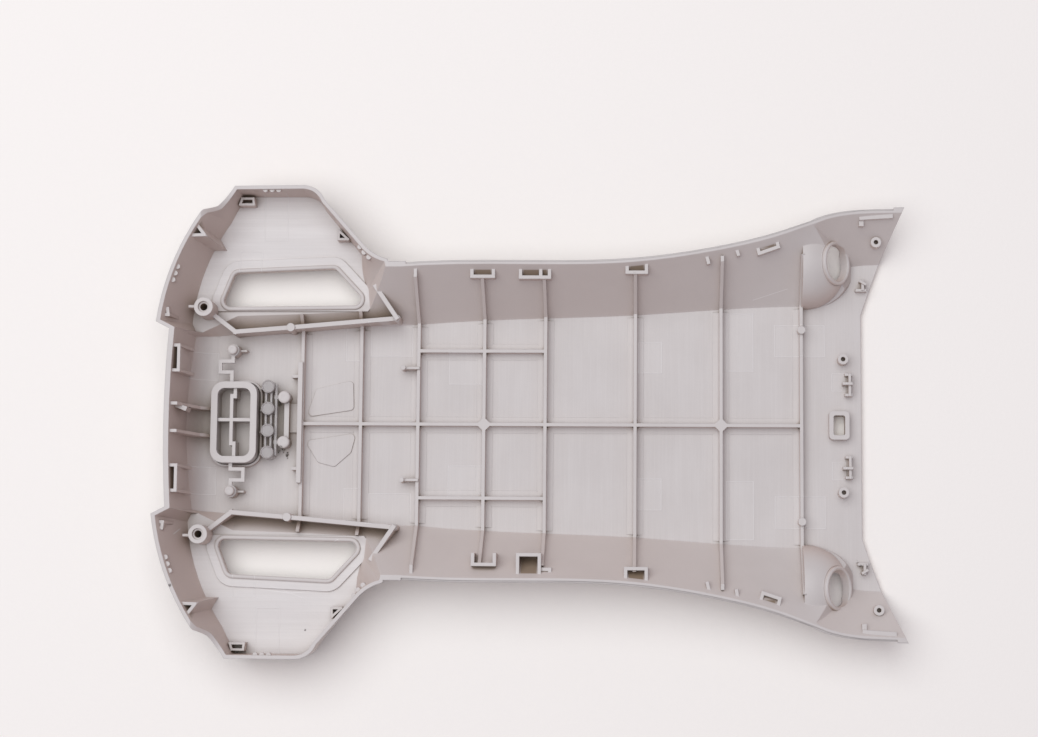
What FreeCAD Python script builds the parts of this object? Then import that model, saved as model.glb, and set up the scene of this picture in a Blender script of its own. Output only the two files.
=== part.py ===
import FreeCAD, Part
import math
import os
import re
from FreeCAD import Placement, Rotation, Vector

# The moulded half housing of a hand-sized appliance, lying on its show face with the
# open side up. +X runs to the flared end, +Y to the wing beside it, +Z out of the open side.
# All sizes are in millimetres.

SIZES = {
    # walls
    "plate_wall": 2.0,
    "side_wall": 2.0,
    "wing_wall": 1.4,
    "floor_top": 2.0,
    "wing_floor": 8.0,
    "total_height": 30.0,
    # rim heights along the housing
    "rim_wing": 21.5,
    "rim_waist": 24.0,
    "rim_shoulder": 22.0,
    "rim_tip": 19.0,
    "lip_height": 0.5,
    # middle plate and its side creases
    "left_foot": 130.2,
    "left_rim": 134.1,
    "left_corner_foot": 128.6,
    "left_corner_rim": 132.8,
    "left_half_width": 33.0,
    "crease_wing": 34.8,
    "crease_waist": 38.6,
    "crease_middle": 41.7,
    "crease_shoulder": 44.6,
    "crease_end": 46.0,
    "waist_start": 48.5,
    "waist_half_width": 57.8,
    "shoulder_x": 71.3,
    "shoulder_half_width": 64.3,
    "flare_x": 96.8,
    "flare_half_width": 70.8,
    "pod_rim_x": 119.9,
    "pod_rim_half_width": 78.2,
    # wings
    "wing_half_width": 87.8,
    "wing_left_x": 112.0,
    "wing_right_x": 86.4,
    "wing_step_x": 118.0,
    "wing_step_y": 79.7,
    "wing_shoulder_x": 122.4,
    "wing_shoulder_y": 77.6,
    "notch_x": 138.3,
    "notch_y": 36.7,
    "wing_lean": 6.8,
    "wing_bow": 2.8,
    "arm_x": 64.6,
    "arm_y": 65.9,
    # flared end
    "tip_x": 139.9,
    "tip_half_width": 79.1,
    "end_x": 124.9,
    "end_half_width": 42.4,
    "end_crease": 62.0,
    "strip_start": 103.1,
    # round ports in the flared end
    "port_x": 115.3,
    "port_y": 61.2,
    "port_z": 11.0,
    "port_tilt": 51.0,
    "port_bore": 6.9,
    "port_ring": 8.4,
    "port_sleeve": 8.9,
    "port_step": 1.2,
    "port_dome": 16.5,
    "port_length": 12.0,
    "nose_x": 106.5,
    "nose_radius": 16.0,
    # plate ribs
    "rib_wall": 1.3,
    "rib_height": 3.6,
    "pad_height": 0.4,
    "rib_one": -87.9,
    "rib_two": -65.3,
    "rib_three": -43.3,
    "rib_four": -18.1,
    "rib_five": 5.2,
    "rib_six": 39.4,
    "rib_seven": 71.9,
    "rib_eight": 102.2,
    "cross_rib": 28.1,
    "rib_left_reach": 41.5,
    "rib_end_reach": 63.6,
    # long bent ribs
    "long_rib_wall": 1.7,
    "long_rib_top": 12.6,
    "long_rib_start_x": -121.0,
    "long_rib_start_y": 40.5,
    "long_rib_bend_x": -113.0,
    "long_rib_bend_y": 34.4,
    "long_rib_end_x": -51.1,
    "long_rib_end_y": 39.7,
    "long_rib_hook_x": -59.2,
    "long_rib_hook_y": 51.6,
    "node_x": -91.7,
    "node_radius": 1.6,
    # screw bosses
    "boss_x": -124.1,
    "boss_y": 43.0,
    "boss_radius": 3.6,
    "boss_bore": 1.4,
    "boss_mouth": 2.1,
    "boss_top": 20.0,
    "boss_depth": 12.4,
    "small_boss_radius": 2.0,
    "small_boss_bore": 0.85,
    "tip_boss_x": 130.0,
    "tip_boss_y": 69.1,
    "tip_boss_top": 12.0,
    "end_boss_x": 117.8,
    "end_boss_y": 25.2,
    "end_boss_top": 7.0,
    "small_boss_depth": 3.5,
    # trapezoid openings in the wings
    "opening_top_left": 114.2,
    "opening_top_right": 75.6,
    "opening_bottom_right": 62.4,
    "opening_bottom_left": 119.4,
    "opening_inner_y": 44.4,
    "opening_outer_y": 59.0,
    "opening_skew": 1.4,
    "opening_lip": 1.5,
    "opening_lip_height": 1.2,
    "opening_border": 4.6,
    "opening_border_height": 0.7,
    # sockets and clips
    "socket_wall": 1.3,
    "socket_top": 22.6,
    "clip_wall": 1.2,
    "wall_tube_top": 28.5,
    "small_tube": 5.0,
    "small_tube_wall": 0.9,
    "slot_x": 116.4,
    "slot_length": 7.5,
    "slot_width": 4.3,
    "slot_collar": 1.7,
    "slot_top": 5.4,
    # push button in its window
    "button_x": -113.2,
    "button_length": 31.0,
    "button_width": 17.6,
    "button_corner": 4.8,
    "button_ring": 2.5,
    "button_cap": 1.8,
    "button_recess": 0.2,
    "button_top": 11.0,
    "button_cross": 1.3,
    "button_cross_top": 9.6,
    "window_clearance": 0.3,
    "window_guide": 0.8,
    "window_guide_top": 4.6,
    "travel": 0.8,
    "arm_wall": 1.4,
    "arm_bottom": 7.6,
    "arm_thickness": 1.3,
    "stake_upper_y": 27.8,
    "stake_lower_y": -26.2,
    "stake_x": -114.3,
    "eyelet_radius": 2.35,
    "stake_radius": 1.0,
    "stake_clearance": 0.15,
    "stake_head": 1.75,
    # light guide and its pins
    "guide_x": -100.4,
    "guide_first_y": 13.8,
    "guide_pitch": 8.4,
    "guide_radius": 2.5,
    "guide_nib": 1.5,
    "guide_top": 9.6,
    "guide_seat": 0.1,
    "guide_pin_x": -94.3,
    "guide_pin_upper": 9.8,
    "guide_pin_lower": -7.4,
    "guide_frame": 0.9,
    "guide_lug_bottom": 6.4,
    "guide_lug_top": 7.8,
    "guide_head": 2.35,
}

doc = FreeCAD.newDocument("moulded_housing")
sheet = doc.addObject("Spreadsheet::Sheet", "Sizes")
for row, (name, value) in enumerate(SIZES.items(), start=1):
    sheet.set(f"A{row}", name)
    sheet.set(f"B{row}", str(value))
    sheet.setAlias(f"B{row}", name)
doc.recompute()


def size(name):
    """The value of a named size in the sheet."""
    return float(sheet.get(name))


def formula(text):
    """A formula of named sizes, as the document's expressions write it."""
    return re.sub(r"[a-z_]+", lambda word: "Sizes." * (word.group(0) in SIZES) + word.group(0), str(text))


def value(text):
    """What a sum of named sizes comes to."""
    total = 0.0
    for sign, term in re.findall(r"([+-]?)\s*([a-z_0-9./ ]+)", text):
        name, _, divisor = (word.strip() for word in term.partition("/"))
        amount = size(name) if name in SIZES else float(name)
        total += (-1 if sign == "-" else 1) * amount / float(divisor or 1)
    return total


def block(name, low, high):
    """A box between two corners, given as formulas of the named sizes."""
    item = doc.addObject("Part::Box", name)
    for axis, side, start, finish in zip("xyz", ("Length", "Width", "Height"), low, high):
        item.setExpression("Placement.Base." + axis, formula(start))
        item.setExpression(side, formula(f"({finish}) - ({start})"))
    return item


def post(name, foot, radius, height):
    """An upright cylinder, its foot, radius and height given as formulas of the named sizes."""
    item = doc.addObject("Part::Cylinder", name)
    for axis, text in zip("xyz", foot):
        item.setExpression("Placement.Base." + axis, formula(text))
    item.setExpression("Radius", formula(radius))
    item.setExpression("Height", formula(height))
    return item


def bar(name, start, finish, wall, low, high):
    """An upright slat on the line between two (x, y) points, half a wall longer at both ends."""
    along_x = f"(({finish[0]}) - ({start[0]}))"
    along_y = f"(({finish[1]}) - ({start[1]}))"
    run = f"sqrt({along_x}^2 + {along_y}^2)"
    half = f"({wall}) / 2 / {run}"
    item = doc.addObject("Part::Box", name)
    item.setExpression("Placement.Base.x", formula(f"({start[0]}) + ({along_y} - {along_x}) * {half}"))
    item.setExpression("Placement.Base.y", formula(f"({start[1]}) - ({along_y} + {along_x}) * {half}"))
    item.setExpression("Placement.Base.z", formula(low))
    item.setExpression("Placement.Rotation.Angle", formula(f"atan2({along_y}; {along_x})"))
    item.setExpression("Length", formula(f"{run} + ({wall})"))
    item.setExpression("Width", formula(wall))
    item.setExpression("Height", formula(f"({high}) - ({low})"))
    return item


def solid(name, shape):
    """A shape worked out from the named sizes, kept as an object of the document."""
    item = doc.addObject("Part::Feature", name)
    item.Shape = shape
    return item


def joined(name, items):
    item = doc.addObject("Part::MultiFuse", name)
    item.Shapes = items
    return item


def shared(name, items):
    item = doc.addObject("Part::MultiCommon", name)
    item.Shapes = items
    return item


def without(name, base, tool):
    item = doc.addObject("Part::Cut", name)
    item.Base = base
    item.Tool = tool
    return item


def grown(points, wall):
    """The outline's points moved outwards by a wall, each along the mitre of its two sides."""
    moved = []
    for index, point in enumerate(points):
        before = (point - points[index - 1]).normalize()
        after = (points[(index + 1) % len(points)] - point).normalize()
        first = Vector(before.y, -before.x, 0)
        second = Vector(after.y, -after.x, 0)
        moved.append(point + (first + second) * (wall / (1 + first.dot(second))))
    return moved


def edges_of(points, runs):
    """Edges through the outline's points: a run of two is straight, a longer one is a smooth curve."""
    edges = []
    for run in runs:
        through = [points[index % len(points)] for index in run]
        if len(through) == 2:
            edges.append(Part.LineSegment(*through).toShape())
        else:
            curve = Part.BSplineCurve()
            curve.interpolate(through)
            edges.append(curve.toShape())
    return edges


def between(low_points, high_points, runs):
    """The closed solid ruled between two outlines with matching points."""
    low = edges_of(low_points, runs)
    high = edges_of(high_points, runs)
    faces = [Part.makeRuledSurface(a, b) for a, b in zip(low, high)]
    faces.append(Part.Face(Part.Wire(low)))
    faces.append(Part.Face(Part.Wire(high)))
    shell = Part.makeShell(faces)
    shell.sewShape()
    body = Part.makeSolid(shell)
    if body.Volume < 0:
        body.reverse()
    return body


def prism(points, low, high):
    """An upright prism on a polygon of (x, y) points."""
    wire = Part.makePolygon([Vector(x, y, low) for x, y in points + points[:1]])
    return Part.Face(wire).extrude(Vector(0, 0, high - low))


class Outline:
    """The foot and rim of a hollow's leaning walls. Each corner has its foot on the hollow's floor and
    its point on the rim at the rim's own height, and leans in a straight line between them."""

    def __init__(self, floor, corners, runs):
        self.floor = floor
        self.corners = corners
        self.runs = runs

    def at(self, height):
        points = []
        for foot_x, foot_y, rim_x, rim_y, rim_z in self.corners:
            share = (height - self.floor) / (rim_z - self.floor)
            x = foot_x + (rim_x - foot_x) * share
            y = foot_y + (rim_y - foot_y) * share
            points.append(Vector(x, y, height))
        return points

    def hollow(self, top, wall=0.0, below=0.0):
        """The space inside the walls, or with a wall and a floor thickness the block around it."""
        low = self.floor - below
        if wall:
            return between(grown(self.at(low), wall), grown(self.at(top), wall), self.runs)
        return between(self.at(low), self.at(top), self.runs)


def mirrored(shape):
    return shape.mirror(Vector(0, 0, 0), Vector(0, 1, 0))


FORM_TOP = size("total_height") + 1.0
SIDE_WALL = size("side_wall")
PLATE_WALL = size("plate_wall")
WING_SHARE = size("wing_wall") / SIDE_WALL


def plate_outline():
    """The middle tray: a flat floor between two long creases, and side walls that lean out to the rim."""
    floor = size("floor_top")
    high, middle = size("total_height"), size("rim_waist")
    half = size("waist_half_width")
    upper = [
        (size("tip_x") - 16, size("crease_end"), size("tip_x") - 16, size("pod_rim_half_width") + 0.6, 19.8),
        (size("pod_rim_x"), size("crease_end"), size("pod_rim_x"), size("pod_rim_half_width"), 20.0),
        (size("flare_x"), size("crease_end") - 0.2,
         size("flare_x"), size("flare_half_width"), size("rim_shoulder")),
        (size("shoulder_x"), size("crease_shoulder"), size("shoulder_x"), size("shoulder_half_width"), 23.0),
        (39, size("crease_middle") + 0.7, 39, half + 1.8, middle),
        (0, size("crease_middle") - 0.7, 0, half + 0.3, middle),
        (-size("waist_start") + 5, size("crease_waist"), -size("waist_start"), half, middle),
        (-63, size("crease_waist") - 1.3, -57, half + 0.3, middle),
        (-89, size("crease_wing") + 0.9, -89, half + 0.3, middle),
        (-113, size("crease_wing"), -113, half, middle),
        (-size("left_corner_foot"), size("left_half_width"),
         -size("left_corner_rim"), size("left_half_width") + 0.9, high),
    ]
    lower = [(a, -b, c, -d, e) for a, b, c, d, e in reversed(upper)]
    middle_left = [(-size("left_foot"), 0, -size("left_rim"), 0, high)]
    runs = [(0, 1, 2, 3, 4, 5, 6), (6, 7), (7, 8), (8, 9), (9, 10), (10, 11, 12)]
    runs += [(12, 13), (13, 14), (14, 15), (15, 16), (16, 17, 18, 19, 20, 21, 22), (22, 0)]
    return Outline(floor, upper + middle_left + lower, runs)


def wing_outline():
    """One wing: a raised floor with steep outer walls, open towards the tray."""
    floor = size("wing_floor")
    high, rim = size("total_height"), size("rim_wing")
    half = size("wing_half_width")
    lean = size("wing_lean")
    bulge_x = -0.6 * size("wing_shoulder_x") - 0.4 * size("notch_x") - size("wing_bow")
    bulge_y = 0.6 * size("wing_shoulder_y") + 0.4 * size("notch_y")
    corners = [
        (-116, 33, -116, 33, high),
        (-61.5, 33, -size("waist_start") + 4.5, 33, high),
        (-63, 51, -size("waist_start") - 6.6, size("waist_half_width") + 1.8, 23.5),
        (-65.0, 57.5, -60.4, 61.9, 23.2),
        (-size("arm_x") - 0.8, size("arm_y") - 1.4, -size("arm_x"), size("arm_y"), 23.0),
        (-79.7, 82.0, -79.3, 82.6, rim),
        (-82.4, 85.6, -82.0, 86.2, rim),
        (-size("wing_right_x") - 0.3, half - 0.5, -size("wing_right_x"), half, rim),
        (-size("wing_left_x") + 1.1, half - 0.5, -size("wing_left_x"), half, rim),
        (-size("wing_step_x") + 0.55 * lean, size("wing_step_y") + 1.5,
         -size("wing_step_x"), size("wing_step_y"), 26.0),
        (-size("wing_shoulder_x") + 0.9 * lean, size("wing_shoulder_y") - 0.4,
         -size("wing_shoulder_x"), size("wing_shoulder_y"), high),
        (bulge_x + lean, bulge_y + 0.5, bulge_x, bulge_y, high),
        (-size("notch_x") + 1.15 * lean, size("notch_y") + 1.2, -size("notch_x"), size("notch_y"), high),
        (-size("left_corner_foot") - 0.5, size("left_half_width") + 2, -size("left_corner_rim") + 0.9,
         size("left_half_width") + 0.4, high),
    ]
    runs = [(0, 1), (1, 2), (2, 3, 4), (4, 5), (5, 6, 7), (7, 8), (8, 9), (9, 10)]
    runs += [(10, 11, 12), (12, 13), (13, 0)]
    return Outline(floor, corners, runs)


def strip_outline():
    """The strip along the open end: a wide flat floor with walls at 45 degrees up to the tips."""
    floor = size("floor_top")
    start = size("strip_start")
    crease = size("end_crease")
    beyond = size("tip_x") + 10
    upper = [
        (beyond, crease, beyond, size("tip_half_width") + 0.9, size("rim_tip") - 0.3),
        (size("tip_x"), crease, size("tip_x"), size("tip_half_width"), size("rim_tip")),
        (size("pod_rim_x"), crease - 1, size("pod_rim_x"), size("pod_rim_half_width"), 20.0),
        (start, crease - 8, start, size("flare_half_width") + 2.0, size("rim_shoulder") - 0.2),
    ]
    lower = [(a, -b, c, -d, e) for a, b, c, d, e in reversed(upper)]
    return Outline(floor, upper + lower, [(0, 1, 2, 3), (3, 4), (4, 5, 6, 7), (7, 0)])


def port_axis(side):
    """The middle of a port's ring and the direction it faces."""
    tilt = math.radians(size("port_tilt"))
    middle = Vector(size("port_x"), side * size("port_y"), size("port_z"))
    return middle, Vector(math.sin(tilt), 0, math.cos(tilt))


def in_front(place, facing):
    """The space in front of a plane through a place, as a large block."""
    reach = 2 * size("nose_radius")
    block_ahead = Part.makeBox(2 * reach, 2 * reach, 2 * reach, Vector(-reach, -reach, 0))
    block_ahead.Placement = Placement(place, Rotation(Vector(0, 0, 1), facing))
    return block_ahead


def nose(side, shrink):
    """The rounded block that keeps the strip's hollow away from a port: a drafted round end, cut off square
    to the port's axis."""
    radius = size("nose_radius") - shrink
    centre_y = side * size("port_y")
    low, high = -5.0, FORM_TOP
    draft = 0.14 * (high - low)
    start = Vector(size("nose_x"), centre_y, low)
    body = Part.makeCone(radius + 0.7, radius + 0.7 - draft, high - low, start)
    straight = Part.makeBox(20, 2 * radius, high - low, Vector(size("nose_x") - 20, centre_y - radius, low))
    middle, facing = port_axis(side)
    beyond = in_front(middle - facing * (0.8 * size("port_step") + shrink), facing)
    return body.fuse(straight).cut(beyond)


def above_rim(drop=0.0):
    """Everything above the rim, as a curtain whose lower edge follows the rim's height along X."""
    high = size("total_height") - drop
    wing = size("rim_wing") - drop
    shoulder = size("wing_shoulder_x")
    step = [(-shoulder - 1.6, high), (-shoulder + 1.2, high - 2.6), (-shoulder + 6.0, wing + 1.0),
            (-shoulder + 9.5, wing)]
    flare = [(-size("waist_start"), size("rim_waist") - drop), (39, size("rim_waist") - drop),
             (size("shoulder_x"), 23.0 - drop), (size("flare_x"), size("rim_shoulder") - drop),
             (size("pod_rim_x"), 20.0 - drop), (size("tip_x"), size("rim_tip") - drop), (160, 17.6 - drop)]
    far = 130
    points = [[Vector(x, -far, z) for x, z in line] for line in (step, flare)]
    left = Vector(-160, -far, high)
    upper = [Vector(160, -far, 60), Vector(-160, -far, 60)]
    curves = []
    for line in points:
        curve = Part.BSplineCurve()
        curve.interpolate(line)
        curves.append(curve.toShape())
    straights = [(left, points[0][0]), (points[0][-1], points[1][0]), (points[1][-1], upper[0]),
                 (upper[0], upper[1]), (upper[1], left)]
    sides = [Part.LineSegment(a, b).toShape() for a, b in straights]
    wire = Part.Wire([sides[0], curves[0], sides[1], curves[1], sides[2], sides[3], sides[4]])
    return Part.Face(wire).extrude(Vector(0, 2 * far, 0))


def beyond_end():
    """Everything past the open end: straight across the middle and swept out to the two tips."""
    straight, half = size("end_x"), size("end_half_width")
    tip_x = size("tip_x")
    tip_y = size("tip_half_width") + SIDE_WALL
    middle_x = straight + 0.42 * (tip_x - straight)
    middle_y = half + 0.46 * (tip_y - half)
    swept = []
    for side in (1, -1):
        curve = Part.BSplineCurve()
        curve.interpolate([Vector(straight, side * half, -5), Vector(middle_x, side * middle_y, -5),
                           Vector(tip_x, side * tip_y, -5)])
        swept.append(curve.toShape())
    far = 130
    corners = [Vector(tip_x, tip_y, -5), Vector(tip_x + 2, far, -5), Vector(tip_x + 50, far, -5),
               Vector(tip_x + 50, -far, -5), Vector(tip_x + 2, -far, -5), Vector(tip_x, -tip_y, -5)]
    sides = [Part.LineSegment(a, b).toShape() for a, b in zip(corners, corners[1:])]
    across = Part.LineSegment(Vector(straight, -half, -5), Vector(straight, half, -5)).toShape()
    wire = Part.Wire([across, swept[0]] + sides + [swept[1]])
    return Part.Face(wire).extrude(Vector(0, 0, 80))


plate, wing, strip = plate_outline(), wing_outline(), strip_outline()


def form(wall, below):
    """Tray, wings and end strip as one block: the hollow itself, or with a wall the outside around it."""
    tray = plate.hollow(FORM_TOP, wall, below)
    one_wing = wing.hollow(FORM_TOP, wall * WING_SHARE, below)
    end = strip.hollow(FORM_TOP, wall, below)
    for side in (1, -1):
        end = end.cut(nose(side, wall))
    return tray.multiFuse([one_wing, mirrored(one_wing), end])


inner_form = solid("inner_form", form(0.0, 0.0))
outer_form = solid("outer_form", form(SIDE_WALL, PLATE_WALL).cut(above_rim()).cut(beyond_end()))


def rim_step():
    """The step that leaves the inner half of the rim standing as a lip, from the waist to the tips."""
    start, finish = -size("waist_start") + 1.6, size("tip_x") - 4
    length = Part.makeBox(finish - start, 260, 60, Vector(start, -130, 0))
    return length.common(above_rim(size("lip_height"))).cut(form(0.5 * SIDE_WALL, 0.0))


stepped_form = without("stepped_form", outer_form, solid("rim_step", rim_step()))
shell = without("shell", stepped_form, inner_form)


def rib_band():
    """The layer over the tray's floor and slopes that the low ribs fill."""
    tray = plate.hollow(FORM_TOP)
    lower, upper = tray.copy(), tray.copy()
    lower.translate(Vector(0, 0, -0.8))
    upper.translate(Vector(0, 0, size("rib_height")))
    return lower.cut(upper).cut(above_rim(size("lip_height") + 0.6))


def plate_ribs():
    """Crosswise ribs, the middle rib, two short ribs beside it and the thick one that closes the row."""
    reaches = {
        "rib_one": "rib_left_reach",
        "rib_two": "rib_left_reach + 1.1",
        "rib_three": "waist_half_width + 3",
        "rib_four": "waist_half_width - 4",
        "rib_five": "waist_half_width - 4",
        "rib_six": "waist_half_width - 2",
        "rib_seven": "shoulder_half_width - 2",
        "rib_eight": "rib_end_reach",
    }
    ribs = []
    for rib, reach in reaches.items():
        ribs.append(block(rib, (f"{rib} - rib_wall / 2", f"-({reach})", "0"),
                          (f"{rib} + rib_wall / 2", reach, "rim_waist")))
    ribs.append(block("middle_rib", ("rib_one", "-rib_wall / 2", "0"),
                      ("rib_eight", "rib_wall / 2", "rim_waist")))
    for side in (1, -1):
        ribs.append(block(f"short_rib_{side}", ("rib_three", f"{side} * cross_rib - rib_wall / 2", "0"),
                          ("rib_five", f"{side} * cross_rib + rib_wall / 2", "rim_waist")))
    for crossing in ("rib_four", "rib_seven"):
        x = size(crossing)
        reach = 2.2 * size("rib_wall")
        diamond = prism([(x - reach, 0), (x, -reach), (x + reach, 0), (x, reach)], 0, size("rim_waist"))
        ribs.append(solid(f"diamond_{crossing}", diamond))
    return shared("plate_ribs", [joined("all_ribs", ribs), solid("rib_band", rib_band())])


def plate_pads():
    """Two shallow raised fields in the cells beside the thick rib, above hollows of the show face."""
    low, high = size("floor_top") - 1, size("floor_top") + size("pad_height")
    upper = [(-86.4, 2.8), (-68.3, 5.6), (-68.7, 17.1), (-82.9, 13.6), (-84.6, 8.6)]
    lower = [(-86.9, -6.4), (-67.2, -3.3), (-69.2, -10.8), (-75.4, -16.3), (-81.8, -14.6)]
    return [solid(f"pad_{name}", rounded(points, 1.6, low, high)) for name, points in
            (("upper", upper), ("lower", list(reversed(lower))))]


def rib_details():
    """Small uprights on and beside the plate ribs."""
    items = [
        block("thick_rib", ("rib_one - rib_wall - 0.2", "-22.8", "1"),
              ("rib_one + 0.3", "23.5", "floor_top + 5.4")),
        block("thick_rib_pad", ("rib_one - 5.5", "-3.3", "1"), ("rib_one - 1", "7.8", "floor_top + 1")),
        block("thick_rib_tooth_upper", ("rib_one - 3.9", "17.4", "1"),
              ("rib_one", "18.6", "floor_top + 4.8")),
        block("thick_rib_tooth_lower", ("rib_one - 3.5", "-17.9", "1"),
              ("rib_one", "-16.7", "floor_top + 4.8")),
    ]
    for side in (1, -1):
        items.append(post(f"rib_pin_{side}", ("rib_eight", f"{side} * 36.3", "1"), "1.5", "floor_top + 4"))
        y = f"{side} * 21.4"
        items.append(bar(f"rib_finger_{side}", ("rib_three - 5.7", y), ("rib_three", y),
                         "1.0", "1", "floor_top + 4.6"))
        items.append(post(f"rib_finger_end_{side}", ("rib_three - 5.7", y, "1"), "0.95", "floor_top + 5"))
    return items


def long_ribs(side):
    """The tall bent rib that crosses a wing from the screw boss, along the crease, and back up the slope."""
    route = [
        ("long_rib_start_x", f"{side} * long_rib_start_y"),
        ("long_rib_bend_x", f"{side} * long_rib_bend_y"),
        ("node_x", f"{side} * (long_rib_bend_y + 1.7)"),
        ("long_rib_end_x", f"{side} * long_rib_end_y"),
        ("long_rib_hook_x", f"{side} * long_rib_hook_y"),
    ]
    items = []
    for index, (start, finish) in enumerate(zip(route, route[1:])):
        top = "long_rib_top + 2.4" if index == 3 else "long_rib_top"
        items.append(bar(f"long_rib_{index}_{side}", start, finish, "long_rib_wall", "1", top))
    items.append(post(f"long_rib_node_{side}", (*route[2], "1"), "node_radius", "long_rib_top - 0.4"))
    items.append(post(f"long_rib_corner_{side}", (*route[3], "1"), "node_radius - 0.3",
                      "long_rib_top - 0.6"))
    return items


def screw_bosses(side):
    """The tall screw boss by the notch with its fin, and the two small bosses near the open end."""
    fin_y = f"{side} * (boss_y + 0.4)"
    return [
        post(f"boss_{side}", ("boss_x", f"{side} * boss_y", "1"), "boss_radius", "boss_top - 1"),
        bar(f"boss_fin_{side}", ("boss_x - 5.6", fin_y), ("boss_x", fin_y), "1.0", "1", "boss_top - 2"),
        post(f"tip_boss_{side}", ("tip_boss_x", f"{side} * tip_boss_y", "1"),
             "small_boss_radius", "tip_boss_top - 1"),
        post(f"end_boss_{side}", ("end_boss_x", f"{side} * end_boss_y", "1"),
             "small_boss_radius", "end_boss_top - 1"),
    ]


def screw_bores(side):
    return [
        post(f"boss_bore_{side}", ("boss_x", f"{side} * boss_y", "boss_top - boss_depth"), "boss_bore",
             "boss_depth + 1"),
        post(f"boss_mouth_{side}", ("boss_x", f"{side} * boss_y", "boss_top - 1"), "boss_mouth", "2"),
        post(f"tip_bore_{side}", ("tip_boss_x", f"{side} * tip_boss_y", "tip_boss_top - small_boss_depth"),
             "small_boss_bore", "small_boss_depth + 1"),
        post(f"end_bore_{side}", ("end_boss_x", f"{side} * end_boss_y", "end_boss_top - small_boss_depth"),
             "small_boss_bore", "small_boss_depth + 1"),
    ]


def walls(name, points, top, wall="socket_wall"):
    """Upright slats along a line of (x, y) points, from inside the skin up to a height."""
    pairs = enumerate(zip(points, points[1:]))
    return [bar(f"{name}_{index}", start, finish, wall, "1", top) for index, (start, finish) in pairs]


def slope_sockets():
    """Sockets and brackets along the two slopes, which take the clips of the other half."""
    beyond = size("waist_half_width") + 2
    top = "socket_top"
    items = []
    items += walls("upper_socket_one", [(-22.0, beyond), (-22.0, 54.3), (-13.9, 54.3), (-13.9, beyond)], top)
    items += walls("upper_socket_two", [(-3.7, beyond), (-3.7, 54.0), (7.2, 54.0), (7.2, beyond)], top)
    items += walls("upper_socket_two_partition", [(3.9, 54.0), (3.9, beyond)], top)
    items += walls("upper_socket_three", [(36.3, beyond), (36.3, 55.9), (43.5, 55.9), (43.5, beyond)], top)
    items += walls("upper_socket_four_leg", [(65.0, 66.2), (66.7, 59.8)], "socket_top - 1")
    items += walls("upper_socket_four_arm", [(76.2, 68.2), (77.8, 62.9)], "socket_top - 1")
    items += walls("upper_socket_four_bar", [(65.9, 62.8), (77.1, 65.9)], "socket_top - 1")
    items += walls("upper_socket_five", [(84.2, 69.2), (85.7, 63.4), (92.8, 65.9), (91.6, 71.2)],
                   "socket_top - 2")
    items += walls("lower_socket_one", [(-20.5, -50.0), (-20.5, -53.6), (-12.4, -53.6), (-12.4, -50.0)], top)
    items += walls("lower_socket_two", [(-3.8, -beyond), (-3.8, -49.9), (4.3, -49.9), (4.3, -beyond)], top)
    items += walls("lower_socket_two_step", [(4.3, -55.2), (8.1, -55.2), (8.1, -beyond)], "socket_top - 1")
    items += walls("lower_socket_three", [(36.2, -beyond), (36.2, -54.7), (43.8, -54.7), (43.8, -beyond)],
                   top)
    items += walls("lower_socket_four", [(66.3, -59.9), (67.2, -63.6), (77.6, -66.6), (77.0, -62.5)],
                   "socket_top - 1")
    items += walls("lower_socket_five", [(85.0, -69.0), (86.7, -63.2), (92.9, -65.2), (91.6, -71.4)],
                   "socket_top - 2")
    return items


def wall_tube(side):
    """The tall three-cornered tube against a wing's end wall, which leans with the wall."""
    top = size("wall_tube_top")
    corners = [(-127.6, 67.5, -133.4, 69.4, top), (-119.9, 67.6, -123.9, 69.7, top),
               (-124.9, 76.0, -129.8, 77.3, top)]
    outline = Outline(size("wing_floor"), corners, [(0, 1), (1, 2), (2, 0)])
    wall = size("clip_wall")
    tube = outline.hollow(top, wall, PLATE_WALL - 0.4).cut(outline.hollow(FORM_TOP))
    return tube if side > 0 else mirrored(tube)


def catches(name, side, run, start, finish, top):
    """Three small bumps in a row on the inner face of one of a wing's walls, just under its rim. The wall is
    a run of the wing's outline, and start and finish are shares of its length."""
    wall = edges_of(wing.at(top - 1), [run])[0]
    items = []
    for index in range(3):
        share = start + (finish - start) * index / 2
        place = wall.valueAt(wall.FirstParameter + share * (wall.LastParameter - wall.FirstParameter))
        foot = (str(place.x), str(side * place.y), str(top - 2.4))
        items.append(post(f"{name}_{index}", foot, "0.95", "2.4"))
    return items


def wing_details(side):
    """The three small tubes and two clips of one wing."""
    y = side
    items = []
    items.append(solid(f"wall_tube_{side}", wall_tube(side)))
    items += catches(f"end_catch_{side}", side, (10, 11, 12), 0.53, 0.65, size("total_height") - 1.4)
    items += catches(f"top_catch_{side}", side, (7, 8), 0.38, 0.58, size("rim_wing") - 0.3)
    items += catches(f"arm_catch_{side}", side, (2, 3, 4), 0.52, 0.98, size("rim_wing") + 1.0)
    near, far = f"{y} * (wing_half_width - 4.2)", f"{y} * (wing_half_width - 1.9)"
    tube = [("-112.2", near), ("-111.5", far), ("-107.2", far), ("-106.9", near), ("-112.2", near)]
    items += walls(f"top_tube_{side}", tube, "wing_floor + small_tube", "small_tube_wall")
    tube = [("-73.9", f"{y} * 73.3"), ("-74.0", f"{y} * 70.1"), ("-70.4", f"{y} * 70.1"),
            ("-73.9", f"{y} * 73.3")]
    items += walls(f"arm_tube_{side}", tube, "wing_floor + small_tube", "small_tube_wall")
    profile = [(-140, 27.4), (-135.4, 27.4), (-132.4, 10), (-140, 10)]
    items.append(fin(f"notch_clip_{side}", profile, y * 38.9))
    items += walls(f"notch_clip_hook_{side}", [(-135.9, y * 38.9), (-136.2, y * 41.2)], "27.4", "clip_wall")
    return items


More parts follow.
